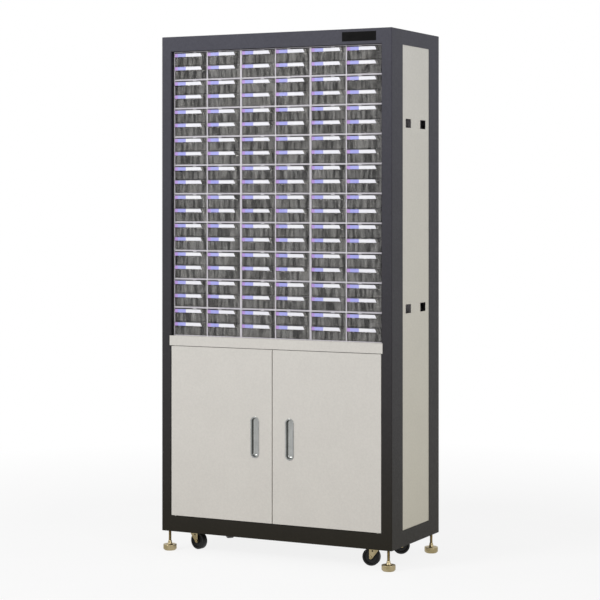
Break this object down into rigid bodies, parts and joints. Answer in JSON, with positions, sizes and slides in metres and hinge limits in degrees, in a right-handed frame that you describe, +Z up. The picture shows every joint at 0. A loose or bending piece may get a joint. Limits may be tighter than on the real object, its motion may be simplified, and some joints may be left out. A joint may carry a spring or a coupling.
{
  "type": "parts bin cabinet",
  "caption": "Steel parts cabinet with banks of small clear drawers over a two-door cupboard, on levelling feet and swivel casters.",
  "frame": {"origin": "on the floor, under the middle of the casing", "axes": "+Z up, the doors and drawers face -Y, +X to the right of someone facing them from behind the cabinet's front"},
  "size_m": [0.885, 0.41, 1.795],
  "materials": {
    "casing_paint": "fine textured dark grey powder coat",
    "panel_paint": "fine textured light grey powder coat",
    "steel": "zinc-plated steel",
    "plated": "yellow zinc-plated steel",
    "chrome": "bright chrome plating",
    "black_plate": "blank black plate",
    "shell": "light grey moulded plastic",
    "tray": "clear smoky moulded plastic",
    "card": "printed card, plain",
    "magnet": "black plastic magnet case",
    "wheel": "black rubber"
  },
  "bodies": {
    "casing": {"front_posts": "casing_paint", "rear_posts": "casing_paint", "top_cover": "casing_paint", "base_frame": "casing_paint", "floor_pan": "panel_paint", "caster_channels": "steel", "left_side_panel": "panel_paint", "right_side_panel": "panel_paint", "back_panel": "panel_paint", "back_screws": "steel", "badge_plate": "black_plate", "bin_deck": "panel_paint", "bin_modules": "shell", "shelf_rails": "panel_paint", "cupboard_shelf": "panel_paint", "door_catches": "magnet", "hinge_pins": "steel", "foot_nuts": "plated", "caster_plates": "plated", "caster_bolts": "plated"},
    "left_door": {"left_door": "panel_paint", "left_door_handle": "chrome"},
    "right_door": {"right_door": "panel_paint", "right_door_handle": "chrome"},
    "upper_left_drawer": {"upper_left_drawer": "tray", "upper_left_drawer_label": "card"},
    "upper_right_drawer": {"upper_right_drawer": "tray", "upper_right_drawer_label": "card"},
    "lower_left_drawer": {"lower_left_drawer": "tray", "lower_left_drawer_label": "card"},
    "lower_right_drawer": {"lower_right_drawer": "tray", "lower_right_drawer_label": "card"},
    "column_1": {"column_1_drawers": "tray", "column_1_labels": "card"},
    "column_2": {"column_2_drawers": "tray", "column_2_labels": "card"},
    "column_3": {"column_3_drawers": "tray", "column_3_labels": "card"},
    "column_4": {"column_4_drawers": "tray", "column_4_labels": "card"},
    "column_5": {"column_5_drawers": "tray", "column_5_labels": "card"},
    "column_6": {"column_6_drawers": "tray", "column_6_labels": "card"},
    "front_left_foot": {"front_left_foot": "plated"},
    "front_right_foot": {"front_right_foot": "plated"},
    "rear_left_foot": {"rear_left_foot": "plated"},
    "rear_right_foot": {"rear_right_foot": "plated"},
    "front_left_caster_fork": {"front_left_caster_fork": "plated", "front_left_caster_axle": "plated"},
    "front_left_caster_wheel": {"front_left_caster_wheel": "wheel"},
    "front_right_caster_fork": {"front_right_caster_fork": "plated", "front_right_caster_axle": "plated"},
    "front_right_caster_wheel": {"front_right_caster_wheel": "wheel"},
    "rear_left_caster_fork": {"rear_left_caster_fork": "plated", "rear_left_caster_axle": "plated"},
    "rear_left_caster_wheel": {"rear_left_caster_wheel": "wheel"},
    "rear_right_caster_fork": {"rear_right_caster_fork": "plated", "rear_right_caster_axle": "plated"},
    "rear_right_caster_wheel": {"rear_right_caster_wheel": "wheel"}
  },
  "joints": [
    {"name": "left_door_hinge", "type": "hinge", "parent": "casing", "child": "left_door", "pos_m": [-0.387, -0.195, 0.42], "axis": [0, 0, -1], "range_deg": [0, 110]},
    {"name": "right_door_hinge", "type": "hinge", "parent": "casing", "child": "right_door", "pos_m": [0.387, -0.195, 0.42], "axis": [0, 0, 1], "range_deg": [0, 110]},
    {"name": "upper_left_drawer_slide", "type": "slide", "parent": "casing", "child": "upper_left_drawer", "axis": [0, -1, 0], "range_m": [0, 0.3]},
    {"name": "upper_right_drawer_slide", "type": "slide", "parent": "casing", "child": "upper_right_drawer", "axis": [0, -1, 0], "range_m": [0, 0.3]},
    {"name": "lower_left_drawer_slide", "type": "slide", "parent": "casing", "child": "lower_left_drawer", "axis": [0, -1, 0], "range_m": [0, 0.3]},
    {"name": "lower_right_drawer_slide", "type": "slide", "parent": "casing", "child": "lower_right_drawer", "axis": [0, -1, 0], "range_m": [0, 0.3]},
    {"name": "column_1_slide", "type": "slide", "parent": "casing", "child": "column_1", "axis": [0, -1, 0], "range_m": [0, 0.3]},
    {"name": "column_2_slide", "type": "slide", "parent": "casing", "child": "column_2", "axis": [0, -1, 0], "range_m": [0, 0.3]},
    {"name": "column_3_slide", "type": "slide", "parent": "casing", "child": "column_3", "axis": [0, -1, 0], "range_m": [0, 0.3]},
    {"name": "column_4_slide", "type": "slide", "parent": "casing", "child": "column_4", "axis": [0, -1, 0], "range_m": [0, 0.3]},
    {"name": "column_5_slide", "type": "slide", "parent": "casing", "child": "column_5", "axis": [0, -1, 0], "range_m": [0, 0.3]},
    {"name": "column_6_slide", "type": "slide", "parent": "casing", "child": "column_6", "axis": [0, -1, 0], "range_m": [0, 0.3]},
    {"name": "front_left_foot_height", "type": "slide", "parent": "casing", "child": "front_left_foot", "axis": [0, 0, -1], "range_m": [-0.012, 0.02]},
    {"name": "front_right_foot_height", "type": "slide", "parent": "casing", "child": "front_right_foot", "axis": [0, 0, -1], "range_m": [-0.012, 0.02]},
    {"name": "rear_left_foot_height", "type": "slide", "parent": "casing", "child": "rear_left_foot", "axis": [0, 0, -1], "range_m": [-0.012, 0.02]},
    {"name": "rear_right_foot_height", "type": "slide", "parent": "casing", "child": "rear_right_foot", "axis": [0, 0, -1], "range_m": [-0.012, 0.02]},
    {"name": "front_left_caster_swivel", "type": "hinge", "parent": "casing", "child": "front_left_caster_fork", "pos_m": [-0.356, -0.1225, 0.078], "axis": [0, 0, 1], "continuous": true},
    {"name": "front_left_wheel_spin", "type": "hinge", "parent": "front_left_caster_fork", "child": "front_left_caster_wheel", "pos_m": [-0.33252, -0.12749, 0.0315], "axis": [-0.2079, -0.9781, 0], "continuous": true},
    {"name": "front_right_caster_swivel", "type": "hinge", "parent": "casing", "child": "front_right_caster_fork", "pos_m": [0.356, -0.1225, 0.078], "axis": [0, 0, 1], "continuous": true},
    {"name": "front_right_wheel_spin", "type": "hinge", "parent": "front_right_caster_fork", "child": "front_right_caster_wheel", "pos_m": [0.33237, -0.12667, 0.0315], "axis": [-0.1736, 0.9848, 0], "continuous": true},
    {"name": "rear_left_caster_swivel", "type": "hinge", "parent": "casing", "child": "rear_left_caster_fork", "pos_m": [-0.356, 0.1225, 0.078], "axis": [0, 0, 1], "continuous": true},
    {"name": "rear_left_wheel_spin", "type": "hinge", "parent": "rear_left_caster_fork", "child": "rear_left_caster_wheel", "pos_m": [-0.33845, 0.10613, 0.0315], "axis": [-0.682, -0.7314, 0], "continuous": true},
    {"name": "rear_right_caster_swivel", "type": "hinge", "parent": "casing", "child": "rear_right_caster_fork", "pos_m": [0.356, 0.1225, 0.078], "axis": [0, 0, 1], "continuous": true},
    {"name": "rear_right_wheel_spin", "type": "hinge", "parent": "rear_right_caster_fork", "child": "rear_right_caster_wheel", "pos_m": [0.3361, 0.10908, 0.0315], "axis": [-0.5592, 0.829, 0], "continuous": true}
  ]
}
